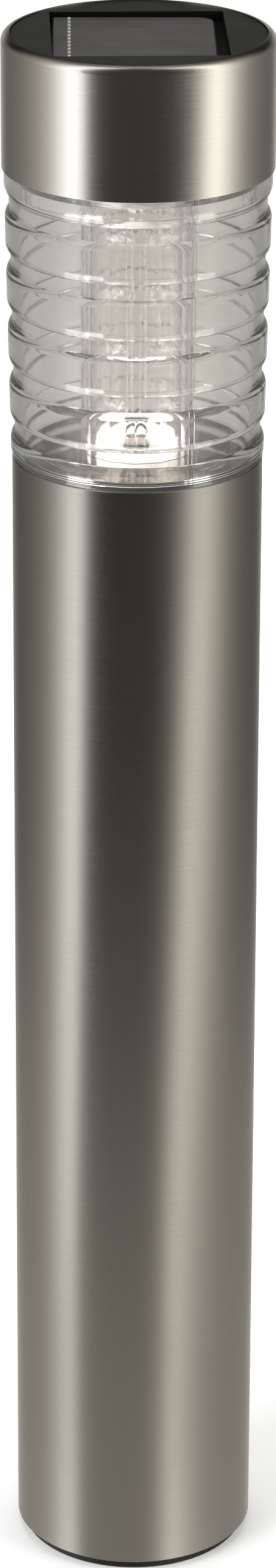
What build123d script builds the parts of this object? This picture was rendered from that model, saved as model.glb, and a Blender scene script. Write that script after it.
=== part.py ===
from build123d import *
import os
from math import asin, cos, pi, radians, sin, sqrt

os.makedirs("parts", exist_ok=True)

# Clearances
static_gap = 0.1        # radial play between two fixed pieces
moving_gap = 0.3        # play between pieces that slide or turn past each other
running_gap = 0.08      # radial play of a pin or ring in its seat
seat_gap = 0.2          # lamp shoulder above the post rim
fuse = 0.5              # overlap that joins a rib or boss to its neighbour

# Post tube
post_radius = 30.0
post_wall = 1.0
post_length = 290.2
rim_break = 0.2         # broken edges of the tube

# Foot plug with the stake socket
foot_height = 2.8       # black ring that shows under the tube
foot_inset = 0.8        # step from the tube bore in to the foot ring
foot_break = 0.4
plug_depth = 16.0
plug_wall = 2.0
socket_radius = 10.1
socket_depth = 32.0
socket_wall = 3.0
socket_end = 3.0
plug_rib_count = 6
plug_rib_thickness = 1.6
plug_rib_height = 12.0

# Bayonet collar in the top of the tube
collar_drop = 7.0       # collar top below the post rim
collar_height = 14.0
collar_wall = 1.6
collar_sill = 5.0       # solid ring under the bayonet channels
piston_gap = 0.4        # piston rim above the collar
lug_count = 3
lug_angle = 16.0
lug_height = 2.5
lug_inset = 0.5         # lug tip inside the tube bore
lock_angle = 15.0
slot_play = 1.0         # degrees each side of a lug

# Lamp base, the black pod that hangs in the post
base_rise = 1.2         # deck top above the post rim
deck_thickness = 2.7
base_wall = 1.6
seal_wire = 1.0         # radius of the rubber ring's section
seal_drop = 3.85        # ring centre below the post rim
flange_step = 0.8       # welded flange in from the tube bore
flange_cover = 1.7      # lens wall outside the flange
ledge_width = 1.8
ledge_height = 1.5
board_boss_radius = 2.6
board_boss_circle = 16.0
board_boss_drop = 3.5
board_pilot = 0.9
pod_boss_radius = 3.0
pod_boss_bite = 0.2     # boss into the pod wall
pod_boss_height = 10.0
pod_pilot = 1.05
pilot_end = 2.0         # boss left solid above its pilot hole
pod_screw_angles = (50.0, 130.0, 270.0)
board_screw_angles = (30.0, 150.0, 270.0)

# Pan-head screws of the pod and the circuit board
screw_head_radius = 2.0
screw_head_height = 1.3
screw_tip_room = 3.0    # pod boss above the screw's tip
drive_length = 2.4
drive_width = 0.5
drive_depth = 0.8

# Pod floor, gasket and battery bay
floor_thickness = 2.0
gasket_thickness = 0.7
bay_wall = 1.2
finger_notch = 1.6      # notch beyond the bay wall, to lift the door
cell_radius = 7.1
cell_length = 28.7
cell_nub_radius = 2.6
cell_nub_height = 1.0
cell_edge = 0.5
cell_play = 0.5
door_play = 0.7         # between the cell and the door
spring_length = 6.9
spring_radius = 3.6
spring_wire = 0.4
spring_turns = 4
contact_thickness = 0.4
contact_width = 10.0
tab_width = 3.0
contact_rise = 1.0      # plate's foot above the pod floor
contact_play = 0.4      # plate's top below the bay ceiling
touch_gap = 0.1         # cell nub to its plate
wire_gap = 0.05         # spring ends to the plate and the cell

# Battery door and its pin
door_thickness = 1.6
hinge_drop = 1.7        # pin centre below the pod floor
hinge_inset = 1.1       # pin centre in from the bay end
barrel_radius = 1.4
pin_radius = 0.75
ear_thickness = 1.8
ear_margin = 0.2        # ear beyond the barrel, and beside the bay
grip_count = 3
grip_height = 0.5
grip_width = 0.8
grip_pitch = 2.0
grip_inset = 4.0        # middle grip in from the door's free end
grip_share = 0.6        # of the door's width

# Slide switch
switch_length = 8.6
switch_width = 4.0
switch_height = 3.6
switch_wall = 0.7
switch_offset = 13.5    # towards the front of the pod
switch_lead_foot = 2.0  # leads' start, each side of the switch's middle
switch_lead_head = 3.6  # leads' end, each side of the middle
switch_lead_back = 1.6  # leads' end behind the switch's middle
switch_lead_bend = 6.0
knob_side = 1.8
knob_drop = 1.4
switch_travel = 2.5
shuttle_length = 2.8
shuttle_height = 1.4
knob_break = 0.25       # broken edges of the knob
knob_bite = 0.1         # knob into the shuttle

# Circuit board
board_radius = 20.0
part_room = 6.2         # height for the parts under the board
board_thickness = 1.6
leg_radius = 0.25
leg_spacing = 2.54
leg_end = 0.6           # diode legs below the board
choke_place = (-8.0, 7.0)
choke_radius = 3.0
choke_height = 4.2
capacitor_place = (7.5, 8.0)
capacitor_radius = 2.0
capacitor_height = 4.0
chip_place = (6.5, -5.0)
chip_length = 4.9
chip_width = 3.9
chip_height = 1.5
resistor_start = -10.0
resistor_row = -5.0
resistor_length = 6.0
resistor_radius = 1.1
resistor_lift = 0.1     # air between its body and the board

# Light-emitting diode and its dish
led_radius = 2.5
led_flange = 0.4
led_flange_height = 1.0
led_height = 8.6
led_sink = 2.2          # diode foot below the deck top
die_radius = 1.2
die_height = 1.4
die_drop = 0.6          # cup's rim below the dome's start
cup_floor = 0.4
cup_wall = 0.3
cup_lip = 0.3           # cup's rim below the hollow it stands in
die_gap = 0.05          # phosphor to the cup's wall
die_sink = 0.2          # phosphor below the cup's hollow top
dish_height = 3.0
dish_mouth = 1.4        # rim width at the top of the dish
dish_throat = 3.4
dish_lip = 0.4          # dish's edge at the throat
dish_play = 0.5         # dish in the light guide's bore

# Mirror plate on the deck
plate_thickness = 0.5
plate_play = 0.4        # plate in the lens bore

# Light guide
guide_radius = 13.6     # to the facet edges
guide_facets = 14
guide_turn = 2.8         # degrees, from the front to the nearest facet edge, leftwards
guide_bore = 11.4
guide_disc = 1.6
guide_skirt = 2.4
guide_skirt_wall = 1.2
guide_play = 0.4        # skirt in the lens bore

# Ribbed lens
lens_show = 71.0        # from the post rim to the cap
lens_wall = 2.0
top_valley_step = 0.5   # top groove radius beyond the post
low_valley_step = -0.63
top_valley_drop = 8.3   # centre of the top groove below the cap
low_valley_rise = 7.5   # centre of the lowest groove above the lens foot
valley_count = 5
valley_flat = 3.6
shoulder_run = 2.0
rib_height = 1.04
crown_step = 1.66       # top band radius beyond the post
foot_band = 1.0         # smooth band beside the post rim
foot_slope = 0.3
spigot_height = 5.0
lens_flange = 2.0
lens_flange_width = 7.6
lens_flange_rise = 1.2  # flange above the lens shoulder

# Head floor, reflector cone and screws
head_floor_thickness = 2.0
cone_depth = 11.0
cone_wall = 1.2
cone_play = 0.4         # cone in the light guide's bore
head_screw_inset = 3.7  # screw centres in from the lens bore
head_screw_angles = (30.0, 150.0, 270.0)
head_screw_shank = 1.2
head_screw_head = 2.7
head_screw_sink = 1.5
head_screw_length = 13.0
head_boss_radius = 3.0
head_boss_rib = 2.0
head_rib_shift = 0.2    # ribs' middles out towards the housing's wall
head_pilot_room = 1.0   # screws' tips short of their pilots
head_drive_length = 2.6
head_drive_depth = 0.9

# Cap shell
cap_overhang = 2.2
cap_height = 31.9
cap_wall = 0.8
cap_curl = 2.1

# Solar panel housing
face_drop = 0.4         # housing face below the cap rim
housing_wall = 1.5
shoulder_drop = 3.0     # housing shoulder below the cap rim
recess_side = 41.0
recess_turn = 2.0
recess_depth = 2.6
recess_floor = 1.6
board_width = 38.0
board_depth = 38.6
board_plate = 1.2
board_shift_x = -1.1
board_shift_y = -0.5
board_turn = 1.2
board_corner = 4.0
board_small_corner = 0.6
cell_plate = 0.3
cell_margin = 0.3
busbar_width = 0.7
busbar_thickness = 0.08
busbar_inset = 3.9

# Leads
lead_radius = 0.5
lead_spacing = 2.8
lead_clear = 2.4        # solar leads' centres behind the guide's edges
lead_start = 12.0
lead_hole = 0.8
lead_bend = 18.0
lead_drop = 6.0         # straight run below the housing plate
lead_shift_run = 10.0   # height over which the leads step back
grommet_hole = 2.4

# Heights worked out from the sizes above
post_rim = foot_height + post_length
lens_foot = post_rim + seat_gap
deck_top = post_rim + base_rise
deck_bottom = deck_top - deck_thickness
plate_top = deck_top + plate_thickness
board_top = deck_bottom - board_boss_drop
board_bottom = board_top - board_thickness
bay_ceiling = board_bottom - part_room - bay_wall
cell_axis = bay_ceiling - cell_play - cell_radius
pod_bottom = cell_axis - cell_radius - door_play - door_thickness
floor_top = pod_bottom + floor_thickness
lens_shoulder = post_rim + lens_show
cap_bottom = lens_shoulder + static_gap
cap_top = cap_bottom + cap_height
face_top = cap_top - face_drop

# Radii worked out from the sizes above
post_bore = post_radius - post_wall
collar_radius = post_bore - static_gap
collar_bore = collar_radius - collar_wall
skirt_radius = collar_bore - moving_gap
piston_radius = post_bore - moving_gap
pod_bore = skirt_radius - base_wall
cap_radius = post_radius + cap_overhang
cap_bore = cap_radius - cap_wall
cap_opening = cap_radius - cap_curl
lead_place = guide_radius + lead_clear


def azimuth_plane(angle):
    """Upright plane through the axis: its x is the radius and its y is the height."""
    across = (cos(radians(angle)), sin(radians(angle)), 0)
    return Plane(origin=(0, 0, 0), x_dir=across, z_dir=(across[1], -across[0], 0))


def turned_plane(height, angle, x=0.0, y=0.0):
    """Level plane at a height, with its x turned about the axis."""
    return Plane(origin=(x, y, height), x_dir=(cos(radians(angle)), sin(radians(angle)), 0))


def polar(radius, angle):
    """Point at a radius and an angle about the axis."""
    return (radius * cos(radians(angle)), radius * sin(radians(angle)))


# Post tube
with BuildPart() as post_tube:
    with BuildSketch(Plane.XY.offset(foot_height)):
        Circle(post_radius)
        Circle(post_bore, mode=Mode.SUBTRACT)
    extrude(amount=post_length)
    chamfer(post_tube.edges().filter_by(GeomType.CIRCLE).filter_by(
        lambda edge: edge.radius > post_bore + post_wall / 2), rim_break)
post_tube.part.label = "post_tube"
export_step(post_tube.part, "parts/post_tube.step")

# Foot plug with a socket for a ground stake
plug_radius = post_bore - static_gap
plug_inner = plug_radius - plug_wall
socket_outer = socket_radius + socket_wall
plug_rib_length = plug_inner - socket_outer + 2 * fuse
with BuildPart() as base_plug:
    with BuildSketch(Plane.XY):
        Circle(post_bore - foot_inset)
    extrude(amount=foot_height)
    chamfer(base_plug.edges().group_by(Axis.Z)[0], foot_break)
    with BuildSketch(Plane.XY.offset(foot_height)):
        Circle(plug_radius)
        Circle(plug_inner, mode=Mode.SUBTRACT)
    extrude(amount=plug_depth)
    with BuildSketch(Plane.XY.offset(foot_height)):
        Circle(socket_outer)
    extrude(amount=socket_depth + socket_end - foot_height)
    with BuildSketch(Plane.XY.offset(foot_height)):
        with PolarLocations((plug_inner + socket_outer) / 2, plug_rib_count):
            Rectangle(plug_rib_length, plug_rib_thickness)
    extrude(amount=plug_rib_height)
    with BuildSketch(Plane.XY):
        Circle(socket_radius)
    extrude(amount=socket_depth, mode=Mode.SUBTRACT)
base_plug.part.label = "base_plug"
export_step(base_plug.part, "parts/base_plug.step")

# Bayonet collar: each lug drops down an entry slot, then turns under the overhang
collar_top = post_rim - collar_drop
collar_bottom = collar_top - collar_height
channel_floor = collar_bottom + collar_sill
lug_bottom = channel_floor + moving_gap
channel_top = lug_bottom + lug_height + moving_gap
slot_half = lug_angle / 2 + slot_play
lug_spacing = 360.0 / lug_count
with BuildPart() as post_collar:
    with BuildSketch(Plane.XY.offset(collar_bottom)):
        Circle(collar_radius)
        Circle(collar_bore, mode=Mode.SUBTRACT)
    extrude(amount=collar_height)
    for index in range(lug_count):
        lug_middle = index * lug_spacing
        with BuildSketch(azimuth_plane(lug_middle - slot_half)):
            with Locations((collar_bore - collar_wall, channel_floor)):
                Rectangle(3 * collar_wall, collar_height, align=(Align.MIN, Align.MIN))
        revolve(axis=Axis.Z, revolution_arc=2 * slot_half, mode=Mode.SUBTRACT)
        with BuildSketch(azimuth_plane(lug_middle - slot_half - lock_angle)):
            with Locations((collar_bore - collar_wall, channel_floor)):
                Rectangle(3 * collar_wall, channel_top - channel_floor, align=(Align.MIN, Align.MIN))
        revolve(axis=Axis.Z, revolution_arc=slot_half + lock_angle, mode=Mode.SUBTRACT)
post_collar.part.label = "post_collar"
export_step(post_collar.part, "parts/post_collar.step")

# Rubber ring that seals the lamp base in the tube
seal_height = post_rim - seal_drop
seal_middle = post_bore - running_gap - seal_wire
groove_radius = seal_middle - seal_wire - running_gap
groove_half = seal_wire + static_gap
with BuildPart() as seal_ring:
    with BuildSketch(Plane.XZ):
        with Locations((seal_middle, seal_height)):
            Circle(seal_wire)
    revolve(axis=Axis.Z)
seal_ring.part.label = "seal_ring"
export_step(seal_ring.part, "parts/seal_ring.step")

# Lamp base: a cup, open below, with a piston rim, a ring groove and bayonet lugs
flange_radius = post_bore - flange_step
piston_bottom = collar_top + piston_gap
ledge_bottom = floor_top + gasket_thickness + 2 * static_gap
ledge_bore = pod_bore - ledge_width
pod_boss_circle = pod_bore - pod_boss_radius + pod_boss_bite
with BuildPart() as lamp_base:
    with BuildSketch(Plane.XZ):
        with BuildLine():
            Polyline(
                (skirt_radius, pod_bottom),
                (skirt_radius, piston_bottom),
                (piston_radius, piston_bottom),
                (piston_radius, seal_height - groove_half),
                (groove_radius, seal_height - groove_half),
                (groove_radius, seal_height + groove_half),
                (piston_radius, seal_height + groove_half),
                (piston_radius, post_rim - seat_gap),
                (flange_radius, post_rim - seat_gap),
                (flange_radius, deck_top),
                (0, deck_top),
                (0, deck_bottom),
                (pod_bore, deck_bottom),
                (pod_bore, ledge_bottom + ledge_height),
                (ledge_bore, ledge_bottom + ledge_height),
                (ledge_bore, ledge_bottom),
                (pod_bore, ledge_bottom),
                (pod_bore, pod_bottom),
                close=True,
            )
        make_face()
    revolve(axis=Axis.Z)
    for index in range(lug_count):
        with BuildSketch(azimuth_plane(index * lug_spacing - lug_angle / 2)):
            with Locations((skirt_radius - base_wall / 2, lug_bottom)):
                Rectangle(
                    post_bore - lug_inset - skirt_radius + base_wall / 2,
                    lug_height,
                    align=(Align.MIN, Align.MIN),
                )
        revolve(axis=Axis.Z, revolution_arc=lug_angle)
    with BuildSketch(Plane.XY.offset(board_top)):
        with Locations(*[polar(board_boss_circle, angle) for angle in board_screw_angles]):
            Circle(board_boss_radius)
    extrude(amount=board_boss_drop)
    with BuildSketch(Plane.XY.offset(board_top)):
        with Locations(*[polar(board_boss_circle, angle) for angle in board_screw_angles]):
            Circle(board_pilot)
    extrude(amount=board_boss_drop + deck_thickness / 2, mode=Mode.SUBTRACT)
    with BuildSketch(Plane.XY.offset(ledge_bottom)):
        with Locations(*[polar(pod_boss_circle, angle) for angle in pod_screw_angles]):
            Circle(pod_boss_radius)
    extrude(amount=pod_boss_height)
    with BuildSketch(Plane.XY.offset(ledge_bottom)):
        with Locations(*[polar(pod_boss_circle, angle) for angle in pod_screw_angles]):
            Circle(pod_pilot)
    extrude(amount=pod_boss_height - pilot_end, mode=Mode.SUBTRACT)
    with BuildSketch(Plane.XY.offset(deck_bottom)):
        Circle(led_radius + led_flange + 2 * static_gap)
        with Locations((-lead_spacing / 2, lead_place), (lead_spacing / 2, lead_place)):
            Circle(lead_hole)
    extrude(amount=deck_thickness, mode=Mode.SUBTRACT)
lamp_base.part.label = "lamp_base"
export_step(lamp_base.part, "parts/lamp_base.step")

# Pod floor with the battery bay standing on it
bay_length = cell_length + spring_length + 2 * contact_thickness + 2 * touch_gap
bay_width = 2 * (cell_radius + cell_play)
floor_radius = pod_bore - static_gap
hinge_x = -bay_length / 2 + hinge_inset
hinge_z = pod_bottom - hinge_drop
ear_start = bay_width / 2 + ear_margin
knob_rest_x = -switch_travel / 2
with BuildPart() as pod_floor:
    with BuildSketch(Plane.XY.offset(pod_bottom)):
        Circle(floor_radius)
    extrude(amount=floor_thickness)
    with BuildSketch(Plane.XY.offset(pod_bottom)):
        Rectangle(bay_length + 2 * bay_wall, bay_width + 2 * bay_wall)
    extrude(amount=bay_ceiling + bay_wall - pod_bottom)
    for side in (-1, 1):
        with BuildSketch(Plane.XZ.offset(-side * ear_start)):
            with Locations((hinge_x, hinge_z)):
                Circle(barrel_radius + ear_margin)
            with Locations((hinge_x, hinge_z + (hinge_drop + ear_margin) / 2)):
                Rectangle(2 * (barrel_radius + ear_margin), hinge_drop + ear_margin)
        extrude(amount=-side * ear_thickness)
    with BuildSketch(Plane.XY.offset(pod_bottom)):
        Rectangle(bay_length, bay_width)
    extrude(amount=bay_ceiling - pod_bottom, mode=Mode.SUBTRACT)
    with BuildSketch(Plane.XZ):
        with Locations((hinge_x, hinge_z)):
            Circle(pin_radius + static_gap / 2)
    extrude(amount=ear_start + 2 * ear_thickness, both=True, mode=Mode.SUBTRACT)
    with BuildSketch(Plane.XY.offset(bay_ceiling)):
        for side in (-1, 1):
            with Locations((side * (bay_length / 2 - contact_thickness / 2), 0)):
                Rectangle(contact_thickness + 4 * static_gap, tab_width + 4 * static_gap)
    extrude(amount=bay_wall, mode=Mode.SUBTRACT)
    with BuildSketch(Plane.XY.offset(pod_bottom)):
        with Locations((0, -switch_offset)):
            Rectangle(knob_side + switch_travel + 2 * moving_gap, knob_side + 2 * moving_gap)
        with Locations(*[polar(pod_boss_circle, angle) for angle in pod_screw_angles]):
            Circle(pod_pilot + static_gap)
    extrude(amount=floor_thickness, mode=Mode.SUBTRACT)
    with BuildSketch(Plane.XY.offset(pod_bottom)):
        with Locations(*[polar(pod_boss_circle, angle) for angle in pod_screw_angles]):
            Circle(screw_head_radius + 2 * static_gap)
    extrude(amount=screw_head_height, mode=Mode.SUBTRACT)
    with BuildSketch(Plane.XY.offset(pod_bottom)):
        with Locations((bay_length / 2, 0)):
            Circle(bay_wall + finger_notch)
    extrude(amount=floor_thickness / 2, mode=Mode.SUBTRACT)
pod_floor.part.label = "pod_floor"
export_step(pod_floor.part, "parts/pod_floor.step")

# Flat gasket between the pod floor and the lamp base
with BuildPart() as pod_gasket:
    with BuildSketch(Plane.XY.offset(floor_top + static_gap)):
        Circle(pod_bore - static_gap)
        Circle(ledge_bore + static_gap, mode=Mode.SUBTRACT)
    extrude(amount=gasket_thickness)
pod_gasket.part.label = "pod_gasket"
export_step(pod_gasket.part, "parts/pod_gasket.step")

# Pan-head screws from below the pod floor
with BuildPart() as pod_screws:
    with BuildSketch(Plane.XY.offset(pod_bottom)):
        with Locations(*[polar(pod_boss_circle, angle) for angle in pod_screw_angles]):
            Circle(screw_head_radius)
    extrude(amount=screw_head_height)
    with BuildSketch(Plane.XY.offset(pod_bottom + screw_head_height)):
        with Locations(*[polar(pod_boss_circle, angle) for angle in pod_screw_angles]):
            Circle(pod_pilot - static_gap / 2)
    extrude(amount=ledge_bottom + pod_boss_height - screw_tip_room - pod_bottom - screw_head_height)
    with BuildSketch(Plane.XY.offset(pod_bottom)):
        with Locations(*[polar(pod_boss_circle, angle) for angle in pod_screw_angles]):
            Rectangle(drive_length, drive_width)
            Rectangle(drive_width, drive_length)
    extrude(amount=drive_depth, mode=Mode.SUBTRACT)
pod_screws.part.label = "pod_screws"
export_step(pod_screws.part, "parts/pod_screws.step")

# Rechargeable cell, lying along X with its nub to +X
cell_end = bay_length / 2 - contact_thickness - touch_gap
cell_start = cell_end - cell_length
with BuildPart() as battery_cell:
    with BuildSketch(Plane.YZ.offset(cell_start)):
        with Locations((0, cell_axis)):
            Circle(cell_radius)
    extrude(amount=cell_length - cell_nub_height)
    fillet(battery_cell.edges().filter_by(GeomType.CIRCLE), cell_edge)
    with BuildSketch(Plane.YZ.offset(cell_end - cell_nub_height)):
        with Locations((0, cell_axis)):
            Circle(cell_nub_radius)
    extrude(amount=cell_nub_height)
battery_cell.part.label = "battery_cell"
export_step(battery_cell.part, "parts/battery_cell.step")

# Contact plates at both ends of the bay, with tabs up to the circuit board
contact_foot = floor_top + contact_rise
contact_head = bay_ceiling - contact_play
with BuildPart() as battery_contacts:
    for side in (-1, 1):
        plate_face = side * bay_length / 2 - contact_thickness * (side + 1) / 2
        with BuildSketch(Plane.YZ.offset(plate_face)):
            with Locations((0, (contact_foot + contact_head) / 2)):
                Rectangle(contact_width, contact_head - contact_foot)
            with Locations((0, (cell_axis + board_bottom) / 2)):
                Rectangle(tab_width, board_bottom - cell_axis)
        extrude(amount=contact_thickness)
battery_contacts.part.label = "battery_contacts"
export_step(battery_contacts.part, "parts/battery_contacts.step")

# Contact spring: a helix about X, made of pairs of tangent arcs for each quarter turn
spring_start = -bay_length / 2 + contact_thickness + spring_wire + wire_gap
spring_end = cell_start - spring_wire - wire_gap
spring_climb = (spring_end - spring_start) / (2 * pi * spring_turns)
quarter = pi / 4
bend_a = spring_radius * sin(quarter)
bend_b = 2 * (spring_radius ** 2 * sin(quarter) * cos(quarter) + spring_climb ** 2 * quarter)
bend_c = -bend_a * ((spring_radius * sin(quarter)) ** 2 + (spring_climb * quarter) ** 2)
middle_radius = spring_radius * cos(quarter) + (
    -bend_b + sqrt(bend_b ** 2 - 4 * bend_a * bend_c)) / (2 * bend_a)


def spring_point(radius, turn):
    """Point on the contact spring, with the turn in radians."""
    return (
        spring_start + spring_climb * turn,
        radius * cos(turn),
        cell_axis + radius * sin(turn),
    )


with BuildPart() as battery_spring:
    with BuildLine() as spring_line:
        heading = (spring_climb, 0, spring_radius)
        for step in range(4 * spring_turns):
            turn = step * pi / 2
            entry = spring_point(spring_radius, turn)
            middle = spring_point(middle_radius, turn + quarter)
            leave = spring_point(spring_radius, turn + pi / 2)
            first = TangentArc(entry, middle, tangent=heading)
            second = TangentArc(middle, leave, tangent=first % 1)
            heading = second % 1
    with BuildSketch(Plane(origin=spring_line.line @ 0, z_dir=spring_line.line % 0)):
        Circle(spring_wire)
    sweep()
battery_spring.part.label = "battery_spring"
export_step(battery_spring.part, "parts/battery_spring.step")
print("spring gap between curls", round(2 * pi * spring_climb - 2 * spring_wire, 2))

# Battery door: it lies in the bay's mouth and swings down about its barrel
door_length = bay_length - 2 * moving_gap
door_width = bay_width - 2 * moving_gap
with BuildPart() as battery_door:
    with BuildSketch(Plane.XY.offset(pod_bottom)):
        Rectangle(door_length, door_width)
    extrude(amount=door_thickness)
    with BuildSketch(Plane.XZ):
        with Locations((hinge_x, hinge_z)):
            Circle(barrel_radius)
        with Locations((hinge_x, hinge_z + hinge_drop / 2 + ear_margin)):
            Rectangle(barrel_radius, hinge_drop + 2 * ear_margin)
    extrude(amount=door_width / 2, both=True)
    with BuildSketch(Plane.XY.offset(pod_bottom - grip_height)):
        with Locations((door_length / 2 - grip_inset, 0)):
            with GridLocations(grip_pitch, 0, grip_count, 1):
                Rectangle(grip_width, door_width * grip_share)
    extrude(amount=grip_height)
    with BuildSketch(Plane.XZ):
        with Locations((hinge_x, hinge_z)):
            Circle(pin_radius + running_gap)
    extrude(amount=door_width, both=True, mode=Mode.SUBTRACT)
battery_door.part.label = "battery_door"
export_step(battery_door.part, "parts/battery_door.step")

# Hinge pin of the battery door
with BuildPart() as hinge_pin:
    with BuildSketch(Plane.XZ):
        with Locations((hinge_x, hinge_z)):
            Circle(pin_radius)
    extrude(amount=ear_start + ear_thickness, both=True)
hinge_pin.part.label = "hinge_pin"
export_step(hinge_pin.part, "parts/hinge_pin.step")

# Slide switch body, standing on the pod floor
switch_top = floor_top + switch_height
with BuildPart() as switch_body:
    with BuildSketch(Plane.XY.offset(floor_top)):
        with Locations((0, -switch_offset)):
            Rectangle(switch_length, switch_width)
    extrude(amount=switch_height)
    with BuildSketch(Plane.XY.offset(floor_top)):
        with Locations((0, -switch_offset)):
            Rectangle(switch_length - 2 * switch_wall, switch_width - 2 * switch_wall)
    extrude(amount=switch_height - switch_wall, mode=Mode.SUBTRACT)
switch_body.part.label = "switch_body"
export_step(switch_body.part, "parts/switch_body.step")

# Switch slider: a shuttle in the body and a knob through the pod floor
with BuildPart() as switch_slider:
    with BuildSketch(Plane.XY.offset(floor_top + moving_gap)):
        with Locations((knob_rest_x, -switch_offset)):
            Rectangle(shuttle_length, switch_width - 2 * switch_wall - 2 * moving_gap)
    extrude(amount=shuttle_height)
    with BuildSketch(Plane.XY.offset(pod_bottom - knob_drop)):
        with Locations((knob_rest_x, -switch_offset)):
            Rectangle(knob_side, knob_side)
    extrude(amount=floor_top + moving_gap + knob_bite - pod_bottom + knob_drop)
    chamfer(switch_slider.edges().group_by(Axis.Z)[0], knob_break)
switch_slider.part.label = "switch_slider"
export_step(switch_slider.part, "parts/switch_slider.step")

# Circuit board under the deck, with screw holes and diode leg holes
with BuildPart() as circuit_board:
    with BuildSketch(Plane.XY.offset(board_bottom)):
        Circle(board_radius)
        with Locations(*[polar(board_boss_circle, angle) for angle in board_screw_angles]):
            Circle(board_pilot + 2 * static_gap, mode=Mode.SUBTRACT)
        with Locations((-leg_spacing / 2, 0), (leg_spacing / 2, 0)):
            Circle(leg_radius + static_gap, mode=Mode.SUBTRACT)
    extrude(amount=board_thickness)
circuit_board.part.label = "circuit_board"
export_step(circuit_board.part, "parts/circuit_board.step")

# Choke, capacitor, driver chip and resistor on the board's underside
with BuildPart() as circuit_parts:
    with BuildSketch(Plane.XY.offset(board_bottom)):
        with Locations(choke_place):
            Circle(choke_radius)
    extrude(amount=-choke_height)
    with BuildSketch(Plane.XY.offset(board_bottom)):
        with Locations(capacitor_place):
            Circle(capacitor_radius)
    extrude(amount=-capacitor_height)
    with BuildSketch(Plane.XY.offset(board_bottom)):
        with Locations(chip_place):
            Rectangle(chip_length, chip_width)
    extrude(amount=-chip_height)
    with BuildSketch(Plane.YZ.offset(resistor_start)):
        with Locations((resistor_row, board_bottom - resistor_radius - resistor_lift)):
            Circle(resistor_radius)
    extrude(amount=resistor_length)
circuit_parts.part.label = "circuit_parts"
export_step(circuit_parts.part, "parts/circuit_parts.step")

# Pan-head screws that hold the circuit board to its bosses
with BuildPart() as board_screws:
    with BuildSketch(Plane.XY.offset(board_bottom)):
        with Locations(*[polar(board_boss_circle, angle) for angle in board_screw_angles]):
            Circle(screw_head_radius)
    extrude(amount=-screw_head_height)
    with BuildSketch(Plane.XY.offset(board_bottom)):
        with Locations(*[polar(board_boss_circle, angle) for angle in board_screw_angles]):
            Circle(board_pilot - static_gap / 2)
    extrude(amount=board_thickness + board_boss_drop)
board_screws.part.label = "board_screws"
export_step(board_screws.part, "parts/board_screws.step")

# Leads from the switch up to the circuit board
lead_lift = board_bottom - switch_top
switch_lead_row = -switch_offset + switch_lead_back
with BuildPart() as switch_leads:
    for side in (-1, 1):
        with BuildLine() as lead_line:
            FilletPolyline(
                (side * switch_lead_foot, -switch_offset, switch_top),
                (side * switch_lead_foot, -switch_offset, switch_top + 0.3 * lead_lift),
                (side * switch_lead_head, switch_lead_row, switch_top + 0.6 * lead_lift),
                (side * switch_lead_head, switch_lead_row, board_bottom),
                radius=switch_lead_bend,
            )
        with BuildSketch(Plane(origin=lead_line.line @ 0, z_dir=lead_line.line % 0)):
            Circle(lead_radius)
        sweep(path=lead_line.line)
switch_leads.part.label = "switch_leads"
export_step(switch_leads.part, "parts/switch_leads.step")

# Clear dome of the diode, hollow below for its die cup
led_foot = deck_top - led_sink
led_dome = led_foot + led_height - led_radius
with BuildPart() as led_lens:
    with BuildSketch(Plane.XZ):
        with BuildLine():
            Polyline(
                (0, led_foot + led_height),
                (0, led_foot),
                (led_radius + led_flange, led_foot),
                (led_radius + led_flange, led_foot + led_flange_height),
                (led_radius, led_foot + led_flange_height),
                (led_radius, led_dome),
            )
            CenterArc((0, led_dome), led_radius, 0, 90)
        make_face()
    revolve(axis=Axis.Z)
    die_top = led_dome - die_drop
    with BuildSketch(Plane.XY.offset(led_foot)):
        Circle(die_radius + static_gap)
        with Locations((-leg_spacing / 2, 0), (leg_spacing / 2, 0)):
            Circle(leg_radius + static_gap)
    extrude(amount=die_top + static_gap - led_foot, mode=Mode.SUBTRACT)
led_lens.part.label = "led_lens"
export_step(led_lens.part, "parts/led_lens.step")

# Diode frame: two legs, the anvil bridge and the die cup
cup_bottom = die_top - die_height
with BuildPart() as led_frame:
    with BuildSketch(Plane.XY.offset(board_bottom - leg_end)):
        with Locations((-leg_spacing / 2, 0), (leg_spacing / 2, 0)):
            Circle(leg_radius)
    extrude(amount=cup_bottom - board_bottom + leg_end + cup_floor)
    with BuildSketch(Plane.XY.offset(cup_bottom - cup_floor)):
        Circle(die_radius)
    extrude(amount=die_height + cup_floor - cup_lip)
    with BuildSketch(Plane.XY.offset(cup_bottom)):
        Circle(die_radius - cup_wall)
    extrude(amount=die_height, mode=Mode.SUBTRACT)
led_frame.part.label = "led_frame"
export_step(led_frame.part, "parts/led_frame.step")

# Amber phosphor over the die
with BuildPart() as led_phosphor:
    with BuildSketch(Plane.XY.offset(cup_bottom)):
        Circle(die_radius - cup_wall - die_gap)
    extrude(amount=die_height - die_sink)
led_phosphor.part.label = "led_phosphor"
export_step(led_phosphor.part, "parts/led_phosphor.step")

# White dish round the diode
dish_radius = guide_bore - dish_play
with BuildPart() as led_dish:
    with BuildSketch(Plane.XZ):
        with BuildLine():
            Polyline(
                (dish_throat, plate_top),
                (dish_radius, plate_top),
                (dish_radius, plate_top + dish_height),
                (dish_radius - dish_mouth, plate_top + dish_height),
                (dish_throat, plate_top + dish_lip),
                close=True,
            )
        make_face()
    revolve(axis=Axis.Z)
led_dish.part.label = "led_dish"
export_step(led_dish.part, "parts/led_dish.step")

# Sizes of the lens wall, which narrows a little towards the post
top_valley = lens_shoulder - top_valley_drop
low_valley = lens_foot + low_valley_rise
valley_pitch = (top_valley - low_valley) / (valley_count - 1)
valley_taper = (top_valley_step - low_valley_step) / (top_valley - low_valley)
rib_flat = valley_pitch - valley_flat - 2 * shoulder_run


def valley_radius(height):
    """Groove radius of the lens at a height."""
    return post_radius + low_valley_step + valley_taper * (height - low_valley)


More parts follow.
